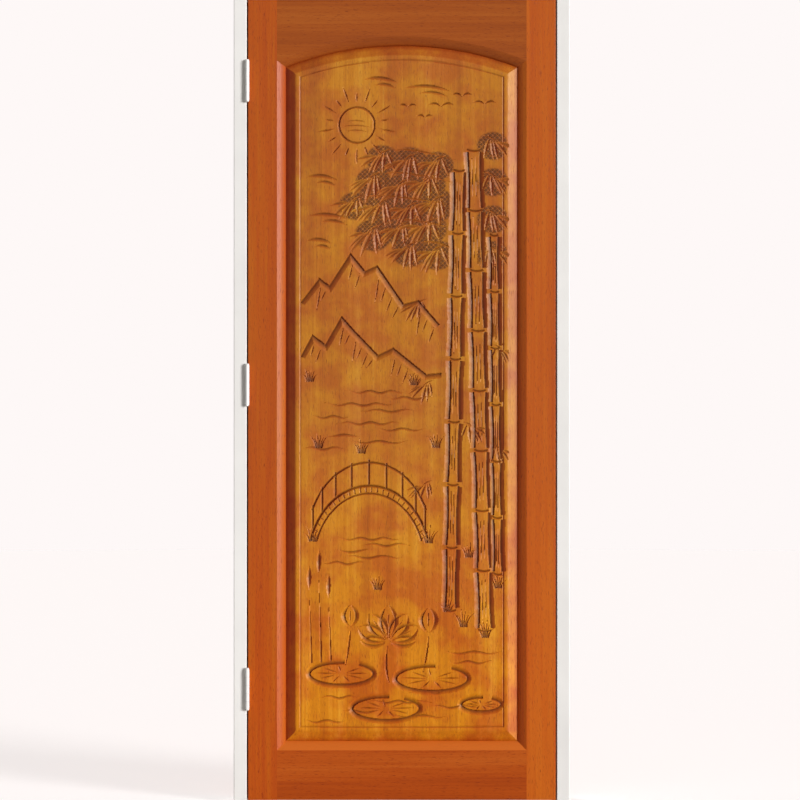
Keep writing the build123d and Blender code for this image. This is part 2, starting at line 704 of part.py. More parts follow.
def hinge_levels():
    """Heights of the three hinges: two at their usual margins and one midway."""
    top = LEAF_TOP - HINGE_TOP_MARGIN - HINGE_HEIGHT / 2
    foot = FLOOR_GAP + HINGE_FOOT_MARGIN + HINGE_HEIGHT / 2
    return {"top": top, "middle": (top + foot) / 2, "bottom": foot}


def hinge_screws(side, level):
    """Four screws of one hinge plate, in two staggered columns. Side is -1 into the jamb, 1 into the leaf."""
    screw = Rot(0, -side * 90, 0) * wood_screw(SCREW_LENGTH)
    found = []
    for i in range(4):
        z = level + (i - 1.5) * HINGE_HEIGHT / 4
        y = FACE_Y + PLATE_REACH * (0.3 if i % 2 else 0.7)
        found.append(Pos(PIN_X + side * EDGE_GAP / 2, y, z) * screw)
    return found


def hinge_plate(side, level):
    """One half of a butt hinge: a flat plate let into the wood, with its knuckles rolled round the pin."""
    x = PIN_X + side * (EDGE_GAP + PLATE_THICKNESS) / 2
    low = level - HINGE_HEIGHT / 2
    plate = Pos(x, FACE_Y + PLATE_REACH / 2, level) * Box(PLATE_THICKNESS, PLATE_REACH, HINGE_HEIGHT)
    height = HINGE_HEIGHT / KNUCKLE_COUNT
    own = [i for i in range(KNUCKLE_COUNT) if i % 2 == (0 if side < 0 else 1)]
    bore = PIN_RADIUS if side < 0 else PIN_RADIUS + PIN_PLAY
    knuckle = Cylinder(KNUCKLE_RADIUS, height - KNUCKLE_PLAY)
    arm = Pos(x - PIN_X, PIN_PROUD / 2, 0) * Box(PLATE_THICKNESS, PIN_PROUD, height - KNUCKLE_PLAY)
    rolled = knuckle + arm - Cylinder(bore, height)
    return plate + [Pos(PIN_X, PIN_Y, low + (i + 0.5) * height) * rolled for i in own]


def hinge_pin(level):
    """The loose pin, with a small domed button above and below the knuckles."""
    button = Cylinder(KNUCKLE_RADIUS - 1, KNUCKLE_RADIUS / 2, align=(Align.CENTER, Align.CENTER, Align.MIN))
    domed = Pos(0, 0, HINGE_HEIGHT / 2) * fillet(button.edges().sort_by(Axis.Z)[-1], KNUCKLE_RADIUS / 3)
    pin = Cylinder(PIN_RADIUS, HINGE_HEIGHT) + domed + mirror(domed, Plane.XY)
    return Pos(PIN_X, PIN_Y, level) * pin


def leaf_parts():
    """The wooden pieces of the leaf. Only the hinge stile is let in for hinges, later."""
    left = stile()
    parts = {
        "hinge_stile": left,
        "lock_stile": mirror(left, Plane.YZ),
        "top_rail": top_rail(),
        "bottom_rail": bottom_rail(),
        "carved_panel": carved_panel(),
    }
    for rail, levels in (("top_rail", TOP_TENON), ("bottom_rail", BOTTOM_TENON)):
        for number, wedge in enumerate(wedges(levels), 1):
            parts[f"{rail}_wedge_{number}"] = wedge
    return parts


def frame_parts():
    """The wooden pieces of the frame and the screws at its corners."""
    left = jamb()
    screws = head_screws()
    return {
        "hinge_jamb": left - screws,
        "lock_jamb": mirror(left, Plane.YZ) - screws,
        "frame_head": frame_head() - screws,
        "hinge_stop": upright_stop(),
        "lock_stop": mirror(upright_stop(), Plane.YZ),
        "head_stop": head_stop(),
        "head_screws": Compound(screws),
    }


def hang(parts):
    """Adds the hinges, and lets their plates and screws into the hinge jamb and the hinge stile."""
    for name, level in hinge_levels().items():
        for side, owner, wood in ((-1, "frame", "hinge_jamb"), (1, "leaf", "hinge_stile")):
            screws = hinge_screws(side, level)
            plate = hinge_plate(side, level)
            parts[wood] -= [plate, *screws]
            parts[f"{name}_hinge_{owner}_plate"] = plate - screws
            parts[f"{name}_hinge_{owner}_screws"] = Compound(screws)
        parts[f"{name}_hinge_pin"] = hinge_pin(level)


parts = leaf_parts() | frame_parts()
hang(parts)
os.makedirs("parts", exist_ok=True)
for node, shape in parts.items():
    export_step(shape, f"parts/{node}.step")
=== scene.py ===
import math

import bpy
import numpy as np
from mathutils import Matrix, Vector


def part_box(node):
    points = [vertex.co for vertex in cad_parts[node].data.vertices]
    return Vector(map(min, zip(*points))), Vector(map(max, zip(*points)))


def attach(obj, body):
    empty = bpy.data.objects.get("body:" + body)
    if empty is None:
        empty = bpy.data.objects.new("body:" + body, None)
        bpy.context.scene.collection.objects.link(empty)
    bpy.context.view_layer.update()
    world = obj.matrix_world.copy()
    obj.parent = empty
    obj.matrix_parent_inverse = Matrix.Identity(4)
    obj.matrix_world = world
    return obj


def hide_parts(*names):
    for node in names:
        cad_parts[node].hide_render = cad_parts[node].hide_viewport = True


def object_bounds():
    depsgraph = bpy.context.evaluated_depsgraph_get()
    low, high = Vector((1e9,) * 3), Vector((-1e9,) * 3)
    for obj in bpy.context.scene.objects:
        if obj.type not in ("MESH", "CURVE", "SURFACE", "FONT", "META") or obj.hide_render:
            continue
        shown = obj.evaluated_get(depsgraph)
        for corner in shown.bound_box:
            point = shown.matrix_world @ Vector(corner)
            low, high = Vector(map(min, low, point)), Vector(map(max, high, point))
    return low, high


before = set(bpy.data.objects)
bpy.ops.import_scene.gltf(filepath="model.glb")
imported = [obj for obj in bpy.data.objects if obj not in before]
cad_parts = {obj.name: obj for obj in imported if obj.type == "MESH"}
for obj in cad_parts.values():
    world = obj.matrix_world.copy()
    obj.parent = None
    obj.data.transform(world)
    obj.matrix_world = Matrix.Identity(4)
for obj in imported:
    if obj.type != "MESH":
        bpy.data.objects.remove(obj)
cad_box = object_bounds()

# Stiles: the two full-height uprights of the leaf, with an ovolo worked along their inner edges.
# They are red-brown tropical hardwood with the grain running up, planed, stained and varnished to a soft shine.
# Painted shade darkens them higher up and deep in the recess beside the panel, and a painted highlight lightens a
# moulding where it faces up.
LEAF_LOW, LEAF_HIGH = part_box("hinge_stile")
FACE_Y, BACK_Y = LEAF_LOW.y, LEAF_HIGH.y
MIDDLE_Y = (FACE_Y + BACK_Y) / 2
LEAF_EDGE_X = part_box("lock_stile")[1].x
HINGE_STILE_STAIN = ("#ac3d0d", "#bd520b", "#c5660f")
LOCK_STILE_STAIN = ("#b54513", "#c75b12", "#d16c19")
# Painted shade deep in the recess beside the panel, and how near the leaf's middle it starts and is full.
RECESS_PAINTED_SHADE = "#dcb4a0"
RECESS_SHADE_NONE_Y = 0.011
RECESS_SHADE_FULL_Y = 0.006
LEAF_MARGIN = 0.04
# Painted shade that dulls and darkens the wood higher up, from where it starts to where it is full.
HIGHER_PAINTED_SHADE = "#735e3a"
HIGHER_SHADE_NONE_Z = 0.3
HIGHER_SHADE_FULL_Z = 0.95
STICK_HIGHER_SHADE = 0.12
# Painted highlight on mouldings that face up, and its greatest share.
UP_FACING_PAINTED_HIGHLIGHT = "#d97024"
UP_FACING_HIGHLIGHT_SHARE = 0.75
LEAN_NONE = 0.2
LEAN_FULL = 0.38
BANDS_PER_METRE = (22, 22, 0.85)
STREAKS_PER_METRE = (200, 200, 3.3)
PORES_PER_METRE = (1000, 1000, 70)
BAND_SHARE = 0.66
STREAK_SHARE = 0.34
PORE_STAIN = "#b98a78"
PORE_DEPTH = 0.0004


def linear(code):
    """Linear light of an sRGB hex value, as red, green, blue and 1."""
    parts = [int(code[i : i + 2], 16) / 255 for i in (1, 3, 5)]
    return [part / 12.92 if part <= 0.04045 else ((part + 0.055) / 1.055) ** 2.4 for part in parts] + [1.0]


def add(tree, kind, inputs=None, stops=(), **settings):
    """Adds a shader node. Inputs hold a value or the socket that feeds it, and stops a ramp's hex colours."""
    node = tree.nodes.new("ShaderNode" + kind)
    for name, value in settings.items():
        setattr(node, name, value)
    for name, value in (inputs or {}).items():
        if isinstance(value, bpy.types.NodeSocket):
            tree.links.new(value, node.inputs[name])
        elif isinstance(value, str):
            node.inputs[name].default_value = linear(value)
        else:
            node.inputs[name].default_value = value
    for i, (place, code) in enumerate(stops):
        stop = node.color_ramp.elements[i] if i < 2 else node.color_ramp.elements.new(place)
        stop.position = place
        stop.color = linear(code)
    return node


def new_material(name):
    """An empty node material, and its tree."""
    material = bpy.data.materials.new(name)
    material.use_nodes = True
    material.node_tree.nodes.clear()
    return material, material.node_tree


def grain_places(tree, along, offset):
    """Object coordinates turned so that Z runs along the grain, and shifted to another part of the log."""
    place = add(tree, "TexCoord").outputs["Object"]
    turn = (0, 0, 0) if along == "Z" else (0, math.pi / 2, 0)
    return add(tree, "Mapping", {"Vector": place, "Location": offset, "Rotation": turn}).outputs[0]


def wood_figure(tree, places, stain):
    """Colour and height of the wood: broad bands of stain, fine streaks, and short dark pores.

    Bands are 45 mm wide and 1.2 m long, streaks 5 mm wide and 0.3 m long, and pores 1 mm wide and 14 mm long.
    Real pores are finer, and are drawn this coarse so that they show from a step away.
    """
    stretched = add(tree, "VectorMath", {0: places, 1: BANDS_PER_METRE}, operation="MULTIPLY").outputs[0]
    fineness = {"Scale": 1, "Detail": 4, "Roughness": 0.55}
    band = add(tree, "TexNoise", {"Vector": stretched} | fineness).outputs[0]
    stretched = add(tree, "VectorMath", {0: places, 1: STREAKS_PER_METRE}, operation="MULTIPLY").outputs[0]
    fineness = {"Scale": 1, "Detail": 3, "Roughness": 0.6}
    streak = add(tree, "TexNoise", {"Vector": stretched} | fineness).outputs[0]
    stretched = add(tree, "VectorMath", {0: places, 1: PORES_PER_METRE}, operation="MULTIPLY").outputs[0]
    pore = add(tree, "TexNoise", {"Vector": stretched, "Scale": 1, "Detail": 1}).outputs[0]
    mixed = add(tree, "Math", {0: band, 1: BAND_SHARE, 2: 0.0}, operation="MULTIPLY_ADD")
    streaked = {0: streak, 1: STREAK_SHARE, 2: mixed.outputs[0]}
    mixed = add(tree, "Math", streaked, operation="MULTIPLY_ADD").outputs[0]
    tint = add(tree, "ValToRGB", {"Fac": mixed}, list(zip((0.3, 0.5, 0.68), stain))).outputs[0]
    pit = add(tree, "MapRange", {0: pore, 1: 0.62, 2: 0.74}).outputs[0]
    darkened = {0: pit, 6: tint, 7: PORE_STAIN}
    colour = add(tree, "Mix", darkened, data_type="RGBA", blend_type="MULTIPLY").outputs[2]
    height = add(tree, "Math", {0: pit, 1: -0.7, 2: mixed}, operation="MULTIPLY_ADD").outputs[0]
    return colour, height


def shaded_higher_up(tree, colour, most):
    """Painted shade: duller and browner wood upwards."""
    place = add(tree, "TexCoord").outputs["Object"]
    up = add(tree, "SeparateXYZ", {0: place}).outputs["Z"]
    share = add(tree, "MapRange", {0: up, 1: HIGHER_SHADE_NONE_Z, 2: HIGHER_SHADE_FULL_Z, 3: 0.0, 4: most}).outputs[0]
    return add(tree, "Mix", {0: share, 6: colour, 7: HIGHER_PAINTED_SHADE}, data_type="RGBA").outputs[2]


def recess_shaded(tree, colour, reach):
    """Painted shade deep in the recess, where it grows down to the panel, within reach of the leaf's middle.

    It starts at one distance from the middle of the leaf's thickness and is full at a smaller one.
    """
    place = add(tree, "TexCoord").outputs["Object"]
    axes = add(tree, "SeparateXYZ", {0: place}).outputs
    off_middle = add(tree, "Math", {0: axes["Y"], 1: -MIDDLE_Y}, operation="ADD").outputs[0]
    off_middle = add(tree, "Math", {0: off_middle}, operation="ABSOLUTE").outputs[0]
    deep = add(tree, "MapRange", {0: off_middle, 1: RECESS_SHADE_NONE_Y, 2: RECESS_SHADE_FULL_Y}).outputs[0]
    across = add(tree, "Math", {0: axes["X"]}, operation="ABSOLUTE").outputs[0]
    inner = add(tree, "Math", {0: across, 1: reach}, operation="LESS_THAN").outputs[0]
    share = add(tree, "Math", {0: deep, 1: inner}, operation="MULTIPLY").outputs[0]
    darkened = {0: share, 6: colour, 7: RECESS_PAINTED_SHADE}
    return add(tree, "Mix", darkened, data_type="RGBA", blend_type="MULTIPLY").outputs[2]


def leaning(tree, axis, way, most):
    """From nothing where the surface leans this way along an axis by 12 degrees, to most from 22 degrees on."""
    share = add(tree, "SeparateXYZ", {0: add(tree, "TexCoord").outputs["Normal"]}).outputs[axis]
    lean = {0: share, 1: LEAN_NONE * way, 2: LEAN_FULL * way, 3: 0.0, 4: most}
    return add(tree, "MapRange", lean).outputs[0]


def varnish(tree, colour, height, pore_depth):
    """A rubbed coat that follows the pores, and under it wood with hardly a gloss of its own."""
    relief = add(tree, "Bump", {"Height": height, "Strength": 0.35, "Distance": pore_depth}).outputs[0]
    wood = {"Base Color": colour, "Roughness": 0.6, "Specular IOR Level": 0.05, "Normal": relief}
    wood |= {"Coat Weight": 0.25, "Coat Roughness": 0.33, "Coat IOR": 1.5, "Coat Normal": relief}
    shader = add(tree, "BsdfPrincipled", wood).outputs[0]
    add(tree, "OutputMaterial", {"Surface": shader})


def varnished_hardwood(name, along, stain, offset):
    """Material of one stick of the leaf's frame."""
    material, tree = new_material(name)
    colour, height = wood_figure(tree, grain_places(tree, along, offset), stain)
    # Painted shade higher up and deep in the recess.
    colour = recess_shaded(tree, shaded_higher_up(tree, colour, STICK_HIGHER_SHADE), LEAF_EDGE_X - LEAF_MARGIN)
    # Painted highlight where a moulding faces up.
    highlighted = {0: leaning(tree, "Z", 1, UP_FACING_HIGHLIGHT_SHARE), 6: colour, 7: UP_FACING_PAINTED_HIGHLIGHT}
    varnish(tree, add(tree, "Mix", highlighted, data_type="RGBA").outputs[2], height, PORE_DEPTH)
    return material


def dress(node, material):
    """Gives a carried-over node its material."""
    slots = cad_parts[node].data.materials
    slots.clear()
    slots.append(material)


hinge_stile_wood = varnished_hardwood("hinge_stile_hardwood", "Z", HINGE_STILE_STAIN, (0.3, 0.1, 0.0))
lock_stile_wood = varnished_hardwood("lock_stile_hardwood", "Z", LOCK_STILE_STAIN, (1.7, 0.4, 0.9))
dress("hinge_stile", hinge_stile_wood)
dress("lock_stile", lock_stile_wood)

# Rails: the arched top rail and the deeper bottom rail, tenoned right through the stiles.
# They are the same hardwood with the grain running across the leaf, from darker and redder boards.
TOP_RAIL_STAIN = ("#923d09", "#a64c0e", "#b45b19")
BOTTOM_RAIL_STAIN = ("#9f3c06", "#b54d0b", "#c25d18")

dress("top_rail", varnished_hardwood("top_rail_hardwood", "X", TOP_RAIL_STAIN, (0.2, 0.6, 1.3)))
# The bottom rail's figure is shifted so that a lighter band of it lies just below the moulding, as a painted
# highlight.
dress("bottom_rail", varnished_hardwood("bottom_rail_hardwood", "X", BOTTOM_RAIL_STAIN, (2.055, 0.2, 0.4)))

# Wedges: eight thin tapers of the same hardwood, driven in beside the through tenons.
# Their ends are sawn off flush and show as darker strips on the stiles' outer edges.
WEDGE_STAIN = ("#632c15", "#823d1d", "#954b28")

wedge_wood = varnished_hardwood("wedge_hardwood_end_grain", "X", WEDGE_STAIN, (0.9, 1.1, 0.5))
for rail in ("top_rail", "bottom_rail"):
    for number in (1, 2, 3, 4):
        dress(f"{rail}_wedge_{number}", wedge_wood)

# Panel: a raised and fielded board, loose in the grooves, with a wide bevel round its field on both sides.
# It is a lighter golden board of the same timber, blotched where stain took unevenly, with painted shade higher
# up, deep in the recess, and where the surface leans up or to the hinge side. The front layer of its field is the
# carved field below.
PANEL_STAIN = ("#bf6c10", "#dd8712", "#f0a52e")
BLOTCH = "#e9c2f0"
# Painted shade where the surface leans up, and where it leans to the hinge side.
UP_LEANING_PAINTED_SHADE = "#ecd2b8"
HINGE_SIDE_PAINTED_SHADE = "#cf9db0"
PANEL_HIGHER_SHADE = 0.3
SIGHT_X = 0.287
SIGHT_FOOT_Z = 0.151
ARCH_CENTRE_Z = 1.075
SIGHT_RADIUS = 0.800
BEVEL_WIDTH = 0.025
SHOULDER_INSET = 0.0205
SHOULDER_DROP = 0.0022
TONGUE_REACH = 0.012
TONGUE_HALF = 0.0058
FIELD_BELOW_FACE = 0.004
FIELD_HALF = MIDDLE_Y - FACE_Y - FIELD_BELOW_FACE
CARVED_LAYER = 0.007
ARCH_STEPS = 97
FOOT_Z = LEAF_LOW.z


def arched_ring(inset, steps):
    """Points (x, z) of the arched outline at this distance inside the sight line: foot, sides and arch."""
    half, foot, radius = SIGHT_X - inset, SIGHT_FOOT_Z + inset, SIGHT_RADIUS - inset
    spring = math.asin(half / radius)
    turn = np.linspace(spring, -spring, steps)
    x = np.concatenate([[-half, half], radius * np.sin(turn)])
    z = np.concatenate([[foot, foot], ARCH_CENTRE_Z + radius * np.cos(turn)])
    return np.stack([x, z], 1)


def object_from(name, points, faces):
    """A mesh object at the origin, from its points and from arrays of faces."""
    mesh = bpy.data.meshes.new(name)
    mesh.from_pydata(points.tolist(), [], [face for part in faces for face in np.asarray(part).tolist()])
    made = bpy.data.objects.new(name, mesh)
    bpy.context.scene.collection.objects.link(made)
    return made


def quads_between(rows, columns, closed):
    """Faces of a grid of points stored row by row, closed round its columns if asked."""
    row, column = np.meshgrid(np.arange(rows - 1), np.arange(columns - 1 + closed), indexing="ij")
    after = (column + 1) % columns
    low, high = row * columns, (row + 1) * columns
    return np.stack([low + column, low + after, high + after, high + column], -1).reshape(-1, 4)


def panel_body():
    """The board without the carved layer: a section of (inset, y) pairs carried round the arched outline."""
    ledge_y = MIDDLE_Y - FIELD_HALF + CARVED_LAYER
    shoulder_y = MIDDLE_Y - FIELD_HALF + SHOULDER_DROP
    section = [(SHOULDER_INSET, ledge_y), (SHOULDER_INSET, shoulder_y), (0, MIDDLE_Y - TONGUE_HALF)]
    section += [(-TONGUE_REACH, MIDDLE_Y - TONGUE_HALF), (-TONGUE_REACH, MIDDLE_Y + TONGUE_HALF)]
    section += [(0, MIDDLE_Y + TONGUE_HALF), (BEVEL_WIDTH, MIDDLE_Y + FIELD_HALF)]
    rings = [arched_ring(inset, ARCH_STEPS) for inset, y in section]
    points = np.concatenate([np.insert(ring, 1, y, axis=1) for ring, (inset, y) in zip(rings, section)])
    around = len(rings[0])
    walls = quads_between(len(section), around, True)[:, ::-1]
    front = np.arange(around)[None, :]
    back = np.arange(len(points) - around, len(points))[None, ::-1]
    return object_from("panel_body", points, [walls, front, back])


def panel_figure(tree):
    """Colour and height of the panel's wood: its figure, blotches 90 mm across that are redder, and painted shade
    higher up.
    """
    places = grain_places(tree, "Z", (0.55, 0.0, 0.2))
    colour, height = wood_figure(tree, places, PANEL_STAIN)
    cloud = add(tree, "TexNoise", {"Vector": places, "Scale": 11, "Detail": 3, "Roughness": 0.6}).outputs[0]
    share = add(tree, "MapRange", {0: cloud, 1: 0.4, 2: 0.62}).outputs[0]
    reddened = {0: share, 6: colour, 7: BLOTCH}
    colour = add(tree, "Mix", reddened, data_type="RGBA", blend_type="MULTIPLY").outputs[2]
    return shaded_higher_up(tree, colour, PANEL_HIGHER_SHADE), height


def lean_shaded(tree, colour):
    """Painted shade where the surface leans up, and where it leans to the hinge side."""
    for axis, way, stain in (("Z", 1, UP_LEANING_PAINTED_SHADE), ("X", -1, HINGE_SIDE_PAINTED_SHADE)):
        darkened = {0: leaning(tree, axis, way, 1.0), 6: colour, 7: stain}
        colour = add(tree, "Mix", darkened, data_type="RGBA", blend_type="MULTIPLY").outputs[2]
    return colour


panel_wood, tree = new_material("panel_hardwood")
colour, height = panel_figure(tree)
# Painted shade higher up, deep in the recess, and where the surface leans up or to the hinge side.
varnish(tree, lean_shaded(tree, recess_shaded(tree, colour, LEAF_EDGE_X)), height, PORE_DEPTH)
body = panel_body()
body.data.materials.append(panel_wood)
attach(body, "leaf")
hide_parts("carved_panel")

# Carved field: the front of the same board, where a landscape is cut with V tools, evenly or steeply on one side.
# Dark stain is left in the cuts, with painted shade deepest at their keels, and on the hatched ground behind the
# bamboo, and the rest is rubbed clean.
# The drawing is in millimetres: x from the middle of the panel, h above the foot of the leaf.
EVEN = 1.1
STEEP = 0.6
BROAD = 2.6
CURVE_POINTS = 13
ARC_STEP = 5
CELL = 1.65
BANDS = 4
STAIN_GAIN = 1.3
STAIN_LOSS = 0.3
LEAST_CUT = 0.02
FIELD_HALF_WIDTH = 1000 * (SIGHT_X - SHOULDER_INSET)
FIELD_FOOT = 1000 * (SIGHT_FOOT_Z + SHOULDER_INSET - FOOT_Z)
FIELD_RADIUS = 1000 * (SIGHT_RADIUS - SHOULDER_INSET)
FIELD_CENTRE = 1000 * (ARCH_CENTRE_Z - FOOT_Z)


def cut(path, depth, left=EVEN, right=EVEN, ends="tapered"):
    """One pass of a V tool: its path, the depth of its keel, and how far each wall spreads for its depth."""
    return path, depth, left, right, ends


def polar(centre, angle, reach):
    """The point at this angle, in degrees, and distance from a centre."""
    turn = math.radians(angle)
    return (centre[0] + reach * math.cos(turn), centre[1] + reach * math.sin(turn))


def between(start, end, share):
    """The point this share of the way from start to end."""
    return tuple(a + share * (b - a) for a, b in zip(start, end))


def line(start, end):
    """Points of a straight stroke."""
    return [between(start, end, i / 4) for i in range(5)]


def bow(start, bend, end):
    """Points of a smooth stroke from start to end, drawn towards bend on the way."""
    shares = [i / (CURVE_POINTS - 1) for i in range(CURVE_POINTS)]
    return [between(between(start, bend, s), between(bend, end, s), s) for s in shares]


def oval_point(centre, half_width, half_height, angle):
    """The point of an ellipse at this angle, in degrees."""
    turn = math.radians(angle)
    return (centre[0] + half_width * math.cos(turn), centre[1] + half_height * math.sin(turn))


def sweep_round(centre, half_width, half_height, first, last):
    """Points of an arc of an ellipse, by angle in degrees."""
    count = 1 + round(abs(last - first) / ARC_STEP)
    turns = [first + (last - first) * i / count for i in range(count + 1)]
    return [oval_point(centre, half_width, half_height, turn) for turn in turns]


def wave(start, length, rise):
    """Points of a rippling stroke, eight to each ripple of about 62 mm."""
    count = 8 * max(1, round(length / 62))
    x, h = start
    turns = [math.pi / 4 * i + h for i in range(count + 1)]
    return [(x + i / count * length, h + rise * math.sin(turn)) for i, turn in enumerate(turns)]


SUN = (-112, 1672)
SUN_RADIUS = 44
MIST = ((64, 1764, 58), (-52, 1784, 44), (-198, 1542, 40), (-182, 1446, 54), (-204, 1384, 34))
BIRDS = ((96, 1716, 1), (148, 1742, 0.8), (14, 1716, 0.7), (204, 1722, 0.9), (56, 1690, 0.65))


def sun():
    """A round cut with eighteen rays of two lengths, and three cuts of haze across the disc."""
    x, h = SUN
    found = [cut(sweep_round(SUN, SUN_RADIUS, SUN_RADIUS, 0, 360), 3, ends="closed")]
    for i in range(18):
        angle = 20 * (i + 0.5)
        reach = (1.85, 2.25)[i % 2] * SUN_RADIUS
        found.append(cut(line(polar(SUN, angle, 1.28 * SUN_RADIUS), polar(SUN, angle, reach)), 2.6))
    for rise, half in ((-16, 30), (-4, 36), (8, 26)):
        found.append(cut(bow((x - half, h + rise), (x, h + rise + 7), (x + half, h + rise - 2)), 1.6))
    return found


def mist():
    """Pairs of long slanting cuts, steep on one side only."""
    found = []
    for x, h, half in MIST:
        upper = bow((x - half, h), (x, h + 18), (x + half, h - 9))
        lower = bow((x - 0.4 * half, h - 14), (x + 0.3 * half, h), (x + 0.9 * half, h - 24))
        found += [cut(upper, 3.4, STEEP, BROAD), cut(lower, 2.8, STEEP, BROAD)]
    return found


def birds():
    """Far birds, each two bowed cuts that meet at the body."""
    found = []
    for x, h, size in BIRDS:
        for side in (-size, size):
            found.append(cut(bow((x, h), (x + 14 * side, h + 17 * size), (x + 32 * side, h + 5 * size)), 3))
    return found


FAR_RIDGE = (
    (-250, 1232), (-205, 1290), (-180, 1272), (-128, 1352), (-92, 1308),
    (-62, 1322), (4, 1226), (40, 1236), (92, 1176),
)
NEAR_RIDGE = (
    (-250, 1098), (-222, 1150), (-190, 1126), (-150, 1196), (-118, 1160),
    (-60, 1100), (-22, 1118), (60, 1052), (98, 1056),
)


def ridge(outline, fall):
    """A mountain's skyline as a stop cut, with strokes down the slopes that face right."""
    found = [cut(outline, 4.6, STEEP, BROAD, ends="square")]
    for start, end in zip(outline, outline[1:]):
        count = round((end[0] - start[0]) / 15) if end[1] < start[1] else 0
        for i in range(count):
            share = (i + 0.45) / count
            x, h = between(start, end, share)
            length = fall * (1 - 0.5 * share) * (0.8 + 0.2 * math.sin(9.1 * i + start[0]))
            found.append(cut(line((x - 2, h - 14), (x - 12 - 3 * i, h - 14 - length)), 2.2))
    return found


CULMS = (
    ((206, 420), (178, 1610), 13),
    ((120, 470), (142, 1560), 10.5),
    ((238, 560), (228, 1400), 7.5),
)
INTERNODE = 152


def culm_lengths(foot, top):
    """The lengths of a culm between its joints, as their low and high points, and the joints themselves."""
    height = top[1] - foot[1]
    count = round(height / INTERNODE)
    joints = [between(foot, top, i / count) for i in range(count + 1)]
    gap = 5 / height
    shares = [(i / count + gap, (i + 1) / count - gap) for i in range(count)]
    return [(between(foot, top, low), between(foot, top, high)) for low, high in shares], joints


def culm_sides(foot, top, radius):
    """The hollow sides of a culm, as stop cuts that slope away from it, and a ring at each joint."""
    lengths, joints = culm_lengths(foot, top)
    found = []
    for low, high in lengths:
        waist = between(low, high, 0.5)
        for side, left, right in ((-1, BROAD, STEEP), (1, STEEP, BROAD)):
            ends = [(x + side * (radius + 2.2), h) for x, h in (low, high)]
            edge = bow(ends[0], (waist[0] + side * (radius - 2.4), waist[1]), ends[1])
            found.append(cut(edge, 4.4, left, right, ends="square"))
    for x, h in joints:
        reach = radius + 3.5
        found.append(cut(bow((x - reach, h + 1), (x, h - 6), (x + reach, h + 1)), 3.2, ends="square"))
    return found


def culm_flutes(foot, top, radius):
    """Two fine dark flutes on each length of a culm."""
    found = []
    for low, high in culm_lengths(foot, top)[0]:
        for offset in (-0.35 * radius, 0.3 * radius):
            found.append(cut(line((low[0] + offset, low[1] + 6), (high[0] + offset, high[1] - 10)), 1.2))
    return found


SPRAY_ROWS = (2, 3, 4, 3, 3)
FIRST_SPRAY = (112, 1376)
SPRAY_PITCH = (68, 57)
RIGHT_SPRAYS = (1376, 1464, 1556, 1646)
LEAVES_IN_SPRAY = 6
LOW_SPRAYS = ((80, 1040, -1), (78, 792, -1), (60, 1240, -1), (222, 1128, 1), (150, 936, 1), (220, 880, 1))


def leaf(root, angle, size):
    """One slender leaf, as a wide V cut that arches a little."""
    length = 64 * size
    tip = polar(root, angle, length)
    middle = between(root, tip, 0.5)
    return cut(bow(root, (middle[0], middle[1] + 0.12 * length), tip), 2.6, 2.4 * size, 2.4 * size)


def spray(x, h, size, side):
    """A drooping twig to one side, and leaves that fan from its end back along it until they hang."""
    tip = (x + 40 * side * size, h - 20 * size)
    found = [cut(bow((x, h), (x + 22 * side * size, h - 3 * size), tip), 2)]
    for i in range(LEAVES_IN_SPRAY):
        share = i / (LEAVES_IN_SPRAY - 1)
        fall = 14 + 92 * share + 7 * math.sin(4.3 * i + x + h)
        angle = -fall if side > 0 else 180 + fall
        length = size * (0.82 + 0.2 * math.sin(math.pi * share) + 0.1 * math.sin(5.3 * i + x))
        found.append(leaf(between((x, h), tip, 1 - 0.62 * share), angle, length))
    return found


def spray_places():
    """Where the sprays on the branches start, row by row: place, size and side."""
    found = []
    for row, count in enumerate(SPRAY_ROWS):
        for i in range(count):
            x = FIRST_SPRAY[0] - i * SPRAY_PITCH[0] - 22 * (row % 2)
            h = FIRST_SPRAY[1] + row * SPRAY_PITCH[1] + 10 * math.sin(2.2 * i + row)
            found.append((x, h, 1 + 0.08 * math.sin(3.1 * i + row), -1))
    return found + [(202, h, 0.92, 1) for h in RIGHT_SPRAYS]


def foliage():
    """The sprays on their branches, and a few lower down on the culms."""
    found = []
    for place in spray_places():
        found += spray(*place)
    for row, count in enumerate(SPRAY_ROWS):
        h = FIRST_SPRAY[1] + row * SPRAY_PITCH[1]
        x = FIRST_SPRAY[0] - (count - 1) * SPRAY_PITCH[0] - 22 * (row % 2)
        found.append(cut(bow((140, h - 20), (x + 40, h + 16), (x, h + 4)), 2.4))
    for x, h, side in LOW_SPRAYS:
        found += spray(x, h, 0.75, side)
    return found


FAR_WATER = (872, 1012, -250, 92, 10)
WATER_UNDER_BRIDGE = (588, 648, -200, 40, 5)
POND_WATER = (196, 268, -246, 246, 7)
POND_EDGE = (342, 366, 116, 246, 2)
BRIDGE = (-82, 588)
BRIDGE_SPAN = 152
BRIDGE_RISE = 190
RAIL_LIFT = 58


def ripples(low, high, left, right, rows):
    """Rows of rippling cuts of uneven length between two heights and two sides."""
    found = []
    for i in range(rows):
        length = 80 + 110 * ((0.38 * i + 0.3) % 1)
        start = left + (right - left - length) * ((0.62 * i) % 1)
        h = low + (high - low) * i / (rows - 1)
        found.append(cut(wave((start, h), length, 3), 2.4, STEEP, BROAD))
    return found


